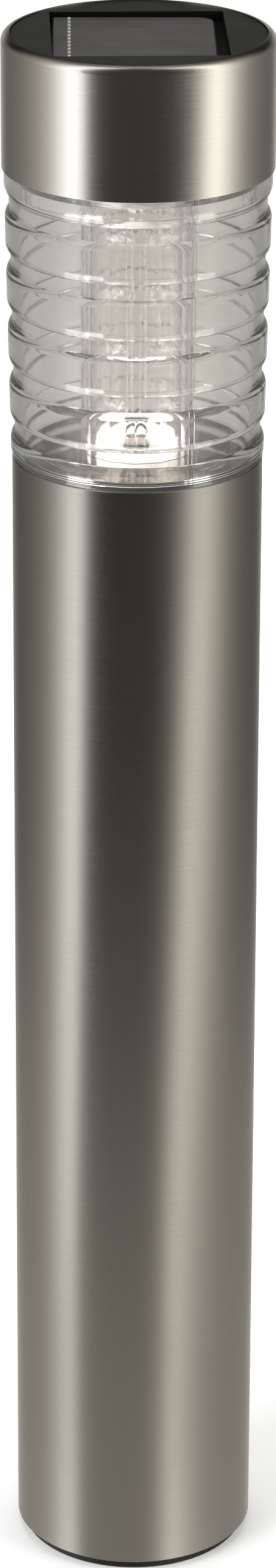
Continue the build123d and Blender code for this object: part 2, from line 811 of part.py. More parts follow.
def shoulder(start_radius, start_height, end_radius, end_height, flat_is_start):
    """Rounded rib shoulder that leaves the rib's flat upright and meets the groove at a corner."""
    drop = abs(end_radius - start_radius)
    run = abs(end_height - start_height)
    bend = (run ** 2 + drop ** 2) / (2 * drop)
    half = asin(run / bend) / 2
    flat_radius, flat_height = (start_radius, start_height) if flat_is_start else (end_radius, end_height)
    other_height = end_height if flat_is_start else start_height
    way = 1 if other_height > flat_height else -1
    middle = (flat_radius - bend + bend * cos(half), flat_height + way * bend * sin(half))
    ThreePointArc((start_radius, start_height), middle, (end_radius, end_height))


# Sizes of the stack that closes the lens at the top
lens_flange_bottom = lens_shoulder + lens_flange_rise
head_floor_bottom = lens_flange_bottom - head_floor_thickness
spigot_top = lens_shoulder + spigot_height
spigot_radius = cap_bore - 1.5 * static_gap
lens_bore_top = valley_radius(lens_flange_bottom) - lens_wall
head_screw_circle = lens_bore_top - head_screw_inset
rebate_radius = post_radius - flange_cover
rebate_top = deck_top + static_gap
crown_radius = post_radius + crown_step
crown_bottom = top_valley + valley_flat / 2 + shoulder_run / 2

# Clear lens: smooth bore, ribbed outside, flange at the top and a rebate at the foot
with BuildPart() as lens:
    with BuildSketch(Plane.XZ):
        with BuildLine():
            foot_rib = valley_radius(lens_foot) + rib_height
            Line((rebate_radius, lens_foot), (post_radius, lens_foot))
            Line((post_radius, lens_foot), (post_radius, lens_foot + foot_band))
            Line((post_radius, lens_foot + foot_band), (foot_rib, lens_foot + foot_band + foot_slope))
            last = (foot_rib, lens_foot + foot_band + foot_slope)
            for index in range(valley_count):
                low = low_valley + index * valley_pitch - valley_flat / 2
                high = low + valley_flat
                rib_end = low - shoulder_run
                rib_here = valley_radius(rib_end) + rib_height
                Line(last, (rib_here, rib_end))
                shoulder(rib_here, rib_end, valley_radius(low), low, True)
                Line((valley_radius(low), low), (valley_radius(high), high))
                if index < valley_count - 1:
                    rib_next = valley_radius(high + shoulder_run) + rib_height
                    shoulder(valley_radius(high), high, rib_next, high + shoulder_run, False)
                    last = (rib_next, high + shoulder_run)
            shoulder(valley_radius(high), high, crown_radius, crown_bottom + shoulder_run, False)
            Line((crown_radius, crown_bottom + shoulder_run), (crown_radius, lens_shoulder))
            Polyline(
                (crown_radius, lens_shoulder),
                (spigot_radius, lens_shoulder),
                (spigot_radius, spigot_top),
                (lens_bore_top, spigot_top),
                (lens_bore_top, lens_flange_bottom + lens_flange),
                (lens_bore_top - lens_flange_width, lens_flange_bottom + lens_flange),
                (lens_bore_top - lens_flange_width, lens_flange_bottom),
                (lens_bore_top, lens_flange_bottom),
                (valley_radius(rebate_top) - lens_wall, rebate_top),
                (rebate_radius, rebate_top),
                (rebate_radius, lens_foot),
            )
        make_face()
    revolve(axis=Axis.Z)
    with BuildSketch(Plane.XY.offset(lens_flange_bottom)):
        with Locations(*[polar(head_screw_circle, angle) for angle in head_screw_angles]):
            Circle(head_screw_shank + 3 * static_gap)
    extrude(amount=lens_flange, mode=Mode.SUBTRACT)
lens.part.label = "lens"
export_step(lens.part, "parts/lens.step")

# Bright plate on the deck, under the lens
with BuildPart() as deck_plate:
    with BuildSketch(Plane.XY.offset(deck_top)):
        Circle(valley_radius(rebate_top) - lens_wall - plate_play)
        Circle(led_radius + led_flange + 2 * static_gap, mode=Mode.SUBTRACT)
        with Locations((-lead_spacing / 2, lead_place), (lead_spacing / 2, lead_place)):
            Circle(lead_hole, mode=Mode.SUBTRACT)
    extrude(amount=plate_thickness)
deck_plate.part.label = "deck_plate"
export_step(deck_plate.part, "parts/deck_plate.step")

# Clear light guide: a faceted tube under a disc with a short skirt
guide_foot = plate_top + static_gap
guide_top = head_floor_bottom - static_gap
guide_disc_radius = valley_radius(guide_top - guide_disc - guide_skirt) - lens_wall - guide_play
with BuildPart() as light_guide:
    with BuildSketch(Plane.XY.offset(guide_foot)):
        RegularPolygon(guide_radius, guide_facets, rotation=-90 - guide_turn)
    extrude(amount=guide_top - guide_foot)
    with BuildSketch(Plane.XY.offset(guide_top - guide_disc)):
        Circle(guide_disc_radius)
    extrude(amount=guide_disc)
    with BuildSketch(Plane.XY.offset(guide_top - guide_disc - guide_skirt)):
        Circle(guide_disc_radius)
        Circle(guide_disc_radius - guide_skirt_wall, mode=Mode.SUBTRACT)
    extrude(amount=guide_skirt)
    with BuildSketch(Plane.XY.offset(guide_foot)):
        Circle(guide_bore)
    extrude(amount=guide_top - guide_foot, mode=Mode.SUBTRACT)
    with BuildSketch(Plane.XY.offset(guide_top - guide_disc)):
        with Locations((-lead_spacing / 2, lead_place), (lead_spacing / 2, lead_place)):
            Circle(lead_hole)
    extrude(amount=guide_disc, mode=Mode.SUBTRACT)
light_guide.part.label = "light_guide"
export_step(light_guide.part, "parts/light_guide.step")

# White floor of the head, clamped under the lens flange
head_floor_radius = lens_bore_top - moving_gap
with BuildPart() as head_floor:
    with BuildSketch(Plane.XY.offset(head_floor_bottom)):
        Circle(head_floor_radius)
        with Locations((-lead_spacing / 2, lead_place), (lead_spacing / 2, lead_place)):
            Circle(lead_hole, mode=Mode.SUBTRACT)
    extrude(amount=head_floor_thickness)
    with Locations(Plane(origin=(0, 0, head_floor_bottom), z_dir=(0, 0, -1))):
        with Locations(*[polar(head_screw_circle, angle) for angle in head_screw_angles]):
            CounterSinkHole(
                head_screw_shank + 2 * static_gap, head_screw_head + static_gap,
                depth=head_floor_thickness, counter_sink_angle=90,
            )
head_floor.part.label = "head_floor"
export_step(head_floor.part, "parts/head_floor.step")

# Reflector cone that hangs from the head floor into the light guide
cone_radius = guide_bore - cone_play
with BuildPart() as top_reflector:
    with BuildSketch(Plane.XZ):
        with BuildLine():
            Polyline(
                (0, head_floor_bottom - cone_depth),
                (cone_radius, head_floor_bottom - cone_wall),
                (cone_radius, head_floor_bottom),
                (cone_radius - 2 * cone_wall, head_floor_bottom),
                (0, head_floor_bottom - cone_depth + 2 * cone_wall),
                close=True,
            )
        make_face()
    revolve(axis=Axis.Z)
top_reflector.part.label = "top_reflector"
export_step(top_reflector.part, "parts/top_reflector.step")

# Panel housing: black face with a square recess, a skirt and three screw bosses
housing_radius = cap_bore - 2 * static_gap
housing_bore = housing_radius - housing_wall
housing_foot = spigot_top + static_gap
shoulder_top = cap_top - shoulder_drop
recess_bottom = face_top - recess_depth
plate_bottom = recess_bottom - recess_floor
boss_bottom = lens_flange_bottom + lens_flange + static_gap
with BuildPart() as panel_housing:
    with BuildSketch(Plane.XZ):
        with BuildLine():
            Polyline(
                (0, face_top),
                (cap_opening - 2 * static_gap, face_top),
                (cap_opening - 2 * static_gap, shoulder_top),
                (housing_radius, shoulder_top),
                (housing_radius, housing_foot),
                (housing_bore, housing_foot),
                (housing_bore, plate_bottom),
                (0, plate_bottom),
                close=True,
            )
        make_face()
    revolve(axis=Axis.Z)
    with BuildSketch(turned_plane(recess_bottom, recess_turn)):
        Rectangle(recess_side, recess_side)
    extrude(amount=recess_depth, mode=Mode.SUBTRACT)
    with BuildSketch(Plane.XY.offset(boss_bottom)):
        with Locations(*[polar(head_screw_circle, angle) for angle in head_screw_angles]):
            Circle(head_boss_radius)
    extrude(amount=plate_bottom - boss_bottom)
    with BuildSketch(Plane.XY.offset(housing_foot)):
        for angle in head_screw_angles:
            rib_middle = (head_screw_circle + housing_bore) / 2 + head_rib_shift
            with Locations(Location((*polar(rib_middle, angle), 0), (0, 0, angle))):
                Rectangle(housing_bore - head_screw_circle, head_boss_rib)
    extrude(amount=plate_bottom - housing_foot)
    with BuildSketch(Plane.XY.offset(boss_bottom)):
        with Locations(*[polar(head_screw_circle, angle) for angle in head_screw_angles]):
            Circle(head_screw_shank + static_gap / 2)
    extrude(amount=head_screw_length - head_pilot_room, mode=Mode.SUBTRACT)
    with BuildSketch(Plane.XY.offset(plate_bottom)):
        with Locations((0, lead_start)):
            Circle(grommet_hole)
    extrude(amount=recess_floor, mode=Mode.SUBTRACT)
panel_housing.part.label = "panel_housing"
export_step(panel_housing.part, "parts/panel_housing.step")

# Countersunk screws through the head floor and the lens flange into the housing
with BuildPart() as head_screws:
    for angle in head_screw_angles:
        with BuildSketch(Plane(origin=(*polar(head_screw_circle, angle), 0), z_dir=(0, -1, 0), x_dir=(1, 0, 0))):
            with BuildLine():
                Polyline(
                    (0, head_floor_bottom),
                    (head_screw_head, head_floor_bottom),
                    (head_screw_shank, head_floor_bottom + head_screw_sink),
                    (head_screw_shank, head_floor_bottom + head_screw_length),
                    (0, head_floor_bottom + head_screw_length),
                    close=True,
                )
            make_face()
        revolve(axis=Axis((*polar(head_screw_circle, angle), 0), (0, 0, 1)))
    with BuildSketch(Plane.XY.offset(head_floor_bottom)):
        with Locations(*[polar(head_screw_circle, angle) for angle in head_screw_angles]):
            Rectangle(head_drive_length, drive_width)
            Rectangle(drive_width, head_drive_length)
    extrude(amount=head_drive_depth, mode=Mode.SUBTRACT)
head_screws.part.label = "head_screws"
export_step(head_screws.part, "parts/head_screws.step")

# Stainless cap shell with its edge curled in round the housing face
with BuildPart() as cap_shell:
    with BuildSketch(Plane.XZ):
        with BuildLine():
            inner_curl = cap_curl - cap_wall
            curl_height = cap_top - cap_curl
            Line((cap_bore, cap_bottom), (cap_radius, cap_bottom))
            Line((cap_radius, cap_bottom), (cap_radius, curl_height))
            CenterArc((cap_opening, curl_height), cap_curl, 0, 90)
            Line((cap_opening, cap_top), (cap_opening, cap_top - cap_wall))
            CenterArc((cap_opening, curl_height), inner_curl, 90, -90)
            Line((cap_bore, curl_height), (cap_bore, cap_bottom))
        make_face()
    revolve(axis=Axis.Z)
cap_shell.part.label = "cap_shell"
export_step(cap_shell.part, "parts/cap_shell.step")

# Solar board in the recess, with one large rounded corner
solar_turn = recess_turn - board_turn
solar_bottom = recess_bottom + static_gap
with BuildPart() as solar_board:
    with BuildSketch(turned_plane(solar_bottom, solar_turn, board_shift_x, board_shift_y)) as board_outline:
        Rectangle(board_width, board_depth)
        far_corner = board_outline.vertices().sort_by(Axis((0, 0, 0), (1, 1, 0)))[-1]
        fillet(far_corner, board_corner)
        fillet(board_outline.vertices().sort_by(Axis((0, 0, 0), (1, 1, 0)))[0], board_small_corner)
    extrude(amount=board_plate)
solar_board.part.label = "solar_board"
export_step(solar_board.part, "parts/solar_board.step")

# Solar cell laminated on the board
cell_bottom = solar_bottom + board_plate
with BuildPart() as solar_cell:
    with BuildSketch(turned_plane(cell_bottom, solar_turn, board_shift_x, board_shift_y)) as cell_outline:
        Rectangle(board_width - 2 * cell_margin, board_depth - 2 * cell_margin)
        far_corner = cell_outline.vertices().sort_by(Axis((0, 0, 0), (1, 1, 0)))[-1]
        fillet(far_corner, board_corner - cell_margin)
    extrude(amount=cell_plate)
solar_cell.part.label = "solar_cell"
export_step(solar_cell.part, "parts/solar_cell.step")

# Light strip that collects the current along the cell's left side
with BuildPart() as cell_busbar:
    with BuildSketch(turned_plane(cell_bottom + cell_plate, solar_turn, board_shift_x, board_shift_y)):
        with Locations((-board_width / 2 + busbar_inset, 0)):
            Rectangle(busbar_width, board_depth - 2 * cell_margin)
    extrude(amount=busbar_thickness)
cell_busbar.part.label = "cell_busbar"
export_step(cell_busbar.part, "parts/cell_busbar.step")

# Leads from the solar board, down behind the light guide, to the circuit board
lead_bend_top = plate_bottom - lead_drop
lead_bend_low = lead_bend_top - lead_shift_run
with BuildPart() as solar_leads:
    for side in (-1, 1):
        lead_x = side * lead_spacing / 2
        with BuildLine() as lead_line:
            FilletPolyline(
                (lead_x, lead_start, solar_bottom),
                (lead_x, lead_start, lead_bend_top),
                (lead_x, lead_place, lead_bend_low),
                (lead_x, lead_place, board_top),
                radius=lead_bend,
            )
        with BuildSketch(Plane(origin=lead_line.line @ 0, z_dir=lead_line.line % 0)):
            Circle(lead_radius)
        sweep(path=lead_line.line)
solar_leads.part.label = "solar_leads"
export_step(solar_leads.part, "parts/solar_leads.step")

lead_length = lead_line.wire().length
lead_volume = 2 * pi * lead_radius ** 2 * lead_length
print("solar lead length", round(lead_length, 1))
print("lead volume over section times length", round(solar_leads.part.volume / lead_volume, 3))
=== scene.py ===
import math

import bpy
from mathutils import Matrix, Vector

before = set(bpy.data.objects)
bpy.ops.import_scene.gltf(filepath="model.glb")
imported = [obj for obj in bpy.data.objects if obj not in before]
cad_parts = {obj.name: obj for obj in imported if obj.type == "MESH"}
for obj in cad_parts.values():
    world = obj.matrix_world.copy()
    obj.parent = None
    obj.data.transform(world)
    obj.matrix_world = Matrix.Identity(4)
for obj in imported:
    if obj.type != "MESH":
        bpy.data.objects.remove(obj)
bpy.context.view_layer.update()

scene = bpy.context.scene

# Camera: fitted to the photograph's ellipses and edges
CAMERA_PLACE = (0.0, -1.1897, 0.7047)      # metres
CAMERA_PITCH = 22.726                      # degrees below the horizon
CAMERA_ROLL = 0.218                        # degrees
CAMERA_FOCAL = 120.2                       # millimetres
CAMERA_SENSOR = 36.0                       # millimetres
CAMERA_SHIFT = 0.00124                     # share of the frame's longer side
CAMERA_CLIP = 0.01                         # metres

camera_data = bpy.data.cameras.new("camera")
camera = bpy.data.objects.new("camera", camera_data)
scene.collection.objects.link(camera)
scene.camera = camera
camera_data.sensor_width = CAMERA_SENSOR
camera_data.lens = CAMERA_FOCAL
camera_data.shift_x = CAMERA_SHIFT
camera_data.clip_start = CAMERA_CLIP
camera.matrix_world = (
    Matrix.Translation(CAMERA_PLACE)
    @ Matrix.Rotation(math.radians(90.0 - CAMERA_PITCH), 4, "X")
    @ Matrix.Rotation(math.radians(CAMERA_ROLL), 4, "Z")
)


class Graph:
    """A node tree with short calls for the nodes that the materials share."""

    def __init__(self, tree):
        self.tree = tree
        self.nodes = tree.nodes
        self.nodes.clear()

    def add(self, kind, inputs=None, **settings):
        """A new node, with values or links for its inputs by name or number."""
        node = self.nodes.new(kind)
        for key, value in settings.items():
            setattr(node, key, value)
        for key, value in (inputs or {}).items():
            self.put(node.inputs[key], value)
        return node

    def put(self, socket, value):
        """Links the socket where the value is another node's output, and sets it otherwise."""
        if isinstance(value, bpy.types.NodeSocket):
            self.tree.links.new(value, socket)
        elif isinstance(value, tuple) and len(value) == 3 and socket.type == "RGBA":
            socket.default_value = (*value, 1.0)
        else:
            socket.default_value = value

    def math(self, operation, *values):
        node = self.add("ShaderNodeMath", operation=operation)
        for socket, value in zip(node.inputs, values):
            self.put(socket, value)
        return node.outputs[0]

    def coords(self, scale=(1, 1, 1), rotation=(0, 0, 0)):
        """Object coordinates in metres, scaled and turned."""
        source = self.add("ShaderNodeTexCoord").outputs["Object"]
        mapping = self.add("ShaderNodeMapping", {"Vector": source, "Scale": scale, "Rotation": rotation})
        return mapping.outputs[0]

    def split(self, vector):
        """The three parts of a vector, by the names X, Y and Z."""
        return self.add("ShaderNodeSeparateXYZ", {"Vector": vector}).outputs

    def noise(self, vector, scale, detail, rough, distort=0.0):
        node = self.add("ShaderNodeTexNoise", {
            "Vector": vector, "Scale": scale, "Detail": detail, "Roughness": rough, "Distortion": distort})
        return node.outputs["Fac"]

    def spread(self, value, source, target=(0.0, 1.0)):
        """The value moved from one range to another, and held at that range's ends."""
        node = self.add("ShaderNodeMapRange", {
            "Value": value, "From Min": source[0], "From Max": source[1],
            "To Min": target[0], "To Max": target[1]})
        return node.outputs[0]

    def beat(self, value, pitch):
        """Distance from the middle of each step of that pitch in metres: 0 there and 0.5 at its ends."""
        steps = self.math("MULTIPLY", value, 1.0 / pitch)
        return self.math("ABSOLUTE", self.math("SUBTRACT", self.math("FRACT", steps), 0.5))

    def ramp(self, value, stops):
        """Grey levels at places from 0 to 1, with straight runs between them."""
        node = self.add("ShaderNodeValToRGB", {"Fac": value})
        elements = node.color_ramp.elements
        while len(elements) > 1:
            elements.remove(elements[-1])
        for index, (place, level) in enumerate(stops):
            element = elements[0] if index == 0 else elements.new(place)
            element.position = place
            element.color = (level, level, level, 1.0)
        return node.outputs["Color"]

    def mix(self, factor, first, second, blend="MIX"):
        values = {0: factor, 6: first, 7: second}
        node = self.add("ShaderNodeMix", values, data_type="RGBA", blend_type=blend)
        return node.outputs[2]

    def times(self, first, second):
        return self.mix(1.0, first, second, "MULTIPLY")

    def plus(self, first, second):
        return self.mix(1.0, first, second, "ADD")

    def bump(self, height, distance, strength, normal=None):
        node = self.add("ShaderNodeBump", {"Height": height, "Distance": distance, "Strength": strength})
        if normal is not None:
            self.put(node.inputs["Normal"], normal)
        return node.outputs[0]

    def light(self, colour, strength=1.0, kind="ShaderNodeEmission"):
        return self.add(kind, {"Color": colour, "Strength": strength}).outputs[0]

    def mix_shader(self, factor, first, second):
        return self.add("ShaderNodeMixShader", {0: factor, 1: first, 2: second}).outputs[0]

    def add_shader(self, first, second):
        return self.add("ShaderNodeAddShader", {0: first, 1: second}).outputs[0]

    def principled(self, inputs):
        return self.add("ShaderNodeBsdfPrincipled", inputs).outputs[0]


def scaled(colour, factor):
    """The colour made lighter or darker."""
    return tuple(min(1.0, part * factor) for part in colour)


def new_material(name):
    material = bpy.data.materials.new(name + "_look")
    material.use_nodes = True
    return material, Graph(material.node_tree)


def finish_material(graph, shader):
    graph.add("ShaderNodeOutputMaterial", {"Surface": shader})


def moulded(name, colour, roughness, grain=2600.0, depth=0.00004, wear=0.25, specular=0.5, mottling=0.12):
    """Moulded plastic or rubber: fine grain, slow mottling, and rubbed spots that are a little glossier."""
    material, g = new_material(name)
    place = g.coords()
    fine = g.noise(place, grain, detail=4.0, rough=0.6)
    slow = g.noise(place, 90.0, detail=3.0, rough=0.55)
    rub = g.noise(place, 260.0, detail=5.0, rough=0.7, distort=0.6)
    tone = g.mix(g.spread(slow, (0.3, 0.7)), scaled(colour, 1 - mottling), scaled(colour, 1 + mottling))
    tone = g.mix(g.spread(fine, (0.55, 0.8), (0, 0.35)), tone, scaled(colour, 1.35))
    grained = g.spread(fine, (0.2, 0.8), (roughness - 0.05, roughness + 0.07))
    worn = g.spread(rub, (0.55, 0.75), (0, wear))
    shader = g.principled({
        "Base Color": tone, "Roughness": g.math("SUBTRACT", grained, worn),
        "Normal": g.bump(fine, depth, 0.6), "Specular IOR Level": specular})
    finish_material(g, shader)
    return material


def brushed_steel(name, colour, roughness):
    """Stainless steel brushed round the axis: hair lines, lines that vary the gloss, and faint smears."""
    material, g = new_material(name)
    hairs = g.noise(g.coords((14.0, 14.0, 16000.0)), 1.0, detail=4.0, rough=0.65)
    lines = g.noise(g.coords((30.0, 30.0, 9000.0)), 1.0, detail=3.0, rough=0.6)
    smear = g.noise(g.coords((30.0, 30.0, 12.0)), 1.0, detail=4.0, rough=0.6)
    tone = g.mix(g.spread(hairs, (0.25, 0.75)), scaled(colour, 0.9), colour)
    tone = g.mix(g.spread(smear, (0.5, 0.8), (0, 0.25)), tone, scaled(colour, 0.86))
    lined = g.spread(lines, (0.25, 0.75), (roughness - 0.04, roughness + 0.04))
    smeared = g.spread(smear, (0.5, 0.8), (0, 0.05))
    height = g.math("ADD", g.math("MULTIPLY", hairs, 0.6), g.math("MULTIPLY", lines, 0.4))
    tangent = g.add("ShaderNodeTangent", direction_type="RADIAL", axis="Z")
    shader = g.principled({
        "Base Color": tone, "Metallic": 1.0, "Roughness": g.math("ADD", lined, smeared),
        "Normal": g.bump(height, 0.000003, 0.4),
        "Anisotropic": 0.55, "Anisotropic Rotation": 0.25, "Tangent": tangent.outputs[0]})
    finish_material(g, shader)
    return material


def plain_metal(name, colour, roughness, scale=(1500.0, 1500.0, 1500.0)):
    """Small metal parts: turned or rolled marks, and patches of tarnish."""
    material, g = new_material(name)
    marks = g.noise(g.coords(scale), 1.0, detail=4.0, rough=0.6)
    patch = g.noise(g.coords(), 420.0, detail=4.0, rough=0.6)
    tone = g.mix(g.spread(patch, (0.5, 0.75), (0, 0.25)), colour, scaled(colour, 0.6))
    marked = g.spread(marks, (0.25, 0.75), (roughness - 0.05, roughness + 0.08))
    tarnished = g.spread(patch, (0.5, 0.8), (0, 0.12))
    shader = g.principled({
        "Base Color": tone, "Metallic": 1.0, "Roughness": g.math("ADD", marked, tarnished),
        "Normal": g.bump(marks, 0.00001, 0.4)})
    finish_material(g, shader)
    return material


def clear_plastic(name, colour, ior, roughness, wave, flow=60.0, haze=0.0, milk=(0.9, 0.9, 0.9), seam=None):
    """Clear moulded plastic with flow waves and a faint milky haze, and with a mould seam at that azimuth.

    It lets the lamps' light through to what is inside.
    """
    material, g = new_material(name)
    slow = g.noise(g.coords((1, 1, 0.6)), flow, detail=2.0, rough=0.5, distort=0.4)
    specks = g.noise(g.coords(), 900.0, detail=4.0, rough=0.65)
    normal = g.bump(slow, wave, 0.5)
    tone = g.mix(g.spread(slow, (0.3, 0.7)), colour, scaled(colour, 0.985))
    if seam is not None:
        aside = g.split(g.coords(rotation=(0, 0, -math.radians(seam))))["X"]
        line = g.spread(g.math("ABSOLUTE", aside), (0.00005, 0.00025), (1.0, 0.0))
        tone = g.mix(line, tone, scaled(colour, 0.6))
        normal = g.bump(line, 0.00008, 0.6, normal)
    clear = g.principled({
        "Base Color": tone, "Roughness": g.spread(specks, (0.45, 0.8), (roughness, roughness + 0.05)),
        "IOR": ior, "Transmission Weight": 1.0, "Normal": normal})
    cloud = g.add("ShaderNodeBsdfTranslucent", {"Color": milk}).outputs[0]
    skin = g.add("ShaderNodeBsdfDiffuse", {"Color": milk}).outputs[0]
    share = g.spread(specks, (0.3, 0.7), (haze * 0.7, haze * 1.3))
    body = g.mix_shader(share, clear, g.mix_shader(0.5, cloud, skin))
    shadow = g.add("ShaderNodeBsdfTransparent", {"Color": (0.97, 0.97, 0.97)}).outputs[0]
    path = g.add("ShaderNodeLightPath").outputs
    finish_material(g, g.mix_shader(path["Is Shadow Ray"], body, shadow))
    return material


def solar_cells(name):
    """Dark laminated cell: fine grid lines across it, a slow tint, pale streaks, and a satin top film."""
    material, g = new_material(name)
    place = g.coords(rotation=(0, 0, math.radians(-0.8)))
    line = g.spread(g.beat(g.split(place)["Y"], 0.00155), (0.04, 0.10), (1.0, 0.0))
    slow = g.noise(place, 70.0, detail=3.0, rough=0.55)
    fine = g.noise(place, 2400.0, detail=3.0, rough=0.6)
    streak = g.noise(g.coords((60.0, 1500.0, 1.0)), 1.0, detail=3.0, rough=0.6)
    tone = g.mix(g.spread(slow, (0.3, 0.7)), (0.036, 0.0355, 0.0345), (0.058, 0.057, 0.055))
    tone = g.mix(g.math("MULTIPLY", line, 0.55), tone, (0.13, 0.128, 0.122))
    tone = g.mix(g.spread(streak, (0.45, 0.75), (0, 0.5)), tone, (0.11, 0.10, 0.11))
    height = g.math("ADD", g.math("MULTIPLY", fine, 0.5), g.math("MULTIPLY", line, 0.5))
    shader = g.principled({
        "Base Color": tone, "Roughness": g.spread(fine, (0.25, 0.75), (0.30, 0.42)),
        "Normal": g.bump(height, 0.00001, 0.4), "Coat Weight": 0.35, "Coat Roughness": 0.2})
    finish_material(g, shader)
    return material


def face_plastic(name, colour, painted_recess_shade, level):
    """Black face: fine grain with faint rubbed spots on top, and below that level in metres painted shade
    that darkens the recess walls.
    """
    material, g = new_material(name)
    place = g.coords()
    fine = g.noise(place, 3200.0, detail=4.0, rough=0.6)
    slow = g.noise(place, 110.0, detail=3.0, rough=0.55)
    rub = g.noise(place, 300.0, detail=5.0, rough=0.7, distort=0.6)
    # Mask for the painted shade: 0 on the recess walls below the face's top, 1 above it
    top = g.spread(g.split(place)["Z"], (level - 0.0002, level - 0.0001))
    tone = g.mix(g.spread(slow, (0.3, 0.7)), scaled(colour, 0.85), scaled(colour, 1.15))
    tone = g.mix(g.spread(fine, (0.55, 0.8), (0, 0.4)), tone, scaled(colour, 1.5))
    # Painted shade: the recess walls take the darker colour
    tone = g.mix(top, painted_recess_shade, tone)
    grained = g.spread(fine, (0.2, 0.8), (0.48, 0.60))
    worn = g.spread(rub, (0.55, 0.75), (0, 0.12))
    shader = g.principled({
        "Base Color": tone, "Roughness": g.math("SUBTRACT", grained, worn),
        "Normal": g.bump(fine, 0.00004, 0.6), "Specular IOR Level": 0.35})
    finish_material(g, shader)
    return material


def current_strip(name):
    """Printed silver paste: a pale strip with a row of solder dots along it."""
    material, g = new_material(name)
    place = g.coords()
    dot = g.spread(g.beat(g.split(place)["Y"], 0.0031), (0.12, 0.22), (1.0, 0.0))
    fine = g.noise(place, 3000.0, detail=4.0, rough=0.6)
    tone = g.mix(g.spread(fine, (0.3, 0.7)), (0.20, 0.195, 0.185), (0.30, 0.295, 0.28))
    tone = g.mix(dot, tone, (0.62, 0.61, 0.58))
    height = g.math("ADD", fine, g.math("MULTIPLY", dot, 2.0))
    shader = g.principled({
        "Base Color": tone, "Roughness": g.spread(fine, (0.25, 0.75), (0.34, 0.48)),
        "Normal": g.bump(height, 0.00003, 0.5), "Metallic": 0.3})
    finish_material(g, shader)
    return material


def phosphor(name):
    """Amber phosphor with fine grains of two tones."""
    material, g = new_material(name)
    grains = g.noise(g.coords(), 9000.0, detail=3.0, rough=0.6)
    shader = g.principled({
        "Base Color": g.mix(g.spread(grains, (0.3, 0.7)), (0.80, 0.42, 0.05), (0.95, 0.62, 0.14)),
        "Roughness": g.spread(grains, (0.3, 0.7), (0.4, 0.6)), "Normal": g.bump(grains, 0.00002, 0.5)})
    finish_material(g, shader)
    return material


def satin_reflector(name):
    """White lacquer over bright metal: faint turned rings and dust, and partly a mirror."""
    material, g = new_material(name)
    rings = g.noise(g.coords((60.0, 60.0, 6000.0)), 1.0, detail=3.0, rough=0.6)
    dust = g.noise(g.coords(), 1400.0, detail=4.0, rough=0.65)
    tone = g.mix(g.spread(dust, (0.45, 0.75), (0, 0.5)), (0.93, 0.92, 0.91), (0.80, 0.79, 0.77))
    turned = g.spread(rings, (0.25, 0.75), (0.16, 0.26))
    dusty = g.spread(dust, (0.5, 0.8), (0, 0.08))
    shader = g.principled({
        "Base Color": tone, "Metallic": 0.3, "Roughness": g.math("ADD", turned, dusty),
        "Normal": g.bump(rings, 0.00001, 0.4)})
    finish_material(g, shader)
    return material


ACRYLIC_IOR = 1.49
EPOXY_IOR = 1.53
LENS_SEAM = 25.5           # degrees
FACE_LEVEL = 0.3956        # metres: the black face's top, above the recess

# By material slot
MATERIALS = {
    # Painted shade: the post's steel has a darker colour than the cap's, standing for the dimmer light the
    # post reflects
    "post_steel": brushed_steel("post_steel", (0.385, 0.370, 0.340), 0.28),
    "cap_steel": brushed_steel("cap_steel", (0.655, 0.635, 0.59), 0.235),
    "black_plastic": moulded("black_plastic", (0.009, 0.009, 0.0105), 0.42, specular=0.3),
    # face_black's second colour is painted shade for the recess walls below FACE_LEVEL
    "face_black": face_plastic("face_black", (0.0195, 0.0195, 0.0175), (0.003, 0.003, 0.0027), FACE_LEVEL),
    "seal_rubber": moulded("seal_rubber", (0.022, 0.022, 0.023), 0.68, grain=3800.0, wear=0.1),
    "screw_steel": plain_metal("screw_steel", (0.62, 0.61, 0.59), 0.3),
    "cell_wrap": moulded("cell_wrap", (0.05, 0.16, 0.10), 0.32, grain=1800.0, depth=0.00002, wear=0.15),
    "contact_metal": plain_metal("contact_metal", (0.72, 0.71, 0.68), 0.26, scale=(300.0, 4200.0, 300.0)),
    "switch_case": moulded("switch_case", (0.035, 0.036, 0.040), 0.45),
    "board_green": moulded("board_green", (0.025, 0.115, 0.05), 0.36, grain=3400.0, wear=0.12),
    "component_black": moulded("component_black", (0.022, 0.022, 0.024), 0.5, grain=4200.0),
    "lead_white": moulded("lead_white", (0.34, 0.33, 0.315), 0.42, grain=3000.0, wear=0.1, mottling=0.05),
    "led_epoxy": clear_plastic("led_epoxy", (0.96, 0.97, 0.95), EPOXY_IOR, 0.01, wave=0.00002),
    "phosphor_amber": phosphor("phosphor_amber"),
    "white_plastic": moulded("white_plastic", (0.87, 0.85, 0.84), 0.38, grain=2800.0, wear=0.1,
                             mottling=0.04),
    "lens_clear": clear_plastic("lens_clear", (0.955, 0.952, 0.935), ACRYLIC_IOR, 0.05, wave=0.00006,
                                haze=0.012, milk=(0.86, 0.86, 0.82), seam=LENS_SEAM),
    "guide_clear": clear_plastic("guide_clear", (0.999, 0.992, 0.99), ACRYLIC_IOR, 0.0, wave=0.0002,
                                 flow=420.0, haze=0.034, milk=(0.99, 0.89, 0.885)),
    "reflector_metal": plain_metal("reflector_metal", (0.74, 0.70, 0.66), 0.05),
    "board_dark": moulded("board_dark", (0.014, 0.014, 0.014), 0.4, grain=3400.0),
    "cell_dark": solar_cells("cell_dark"),
    "busbar_silver": current_strip("busbar_silver"),
}

# Nodes with a finish of their own, whatever their slot
OWN_LOOKS = {
    "top_reflector": satin_reflector("satin_reflector"),
}

for name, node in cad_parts.items():
    for place in node.material_slots:
        place.material = OWN_LOOKS.get(name) or MATERIALS[place.material.name.split(".")[0]]

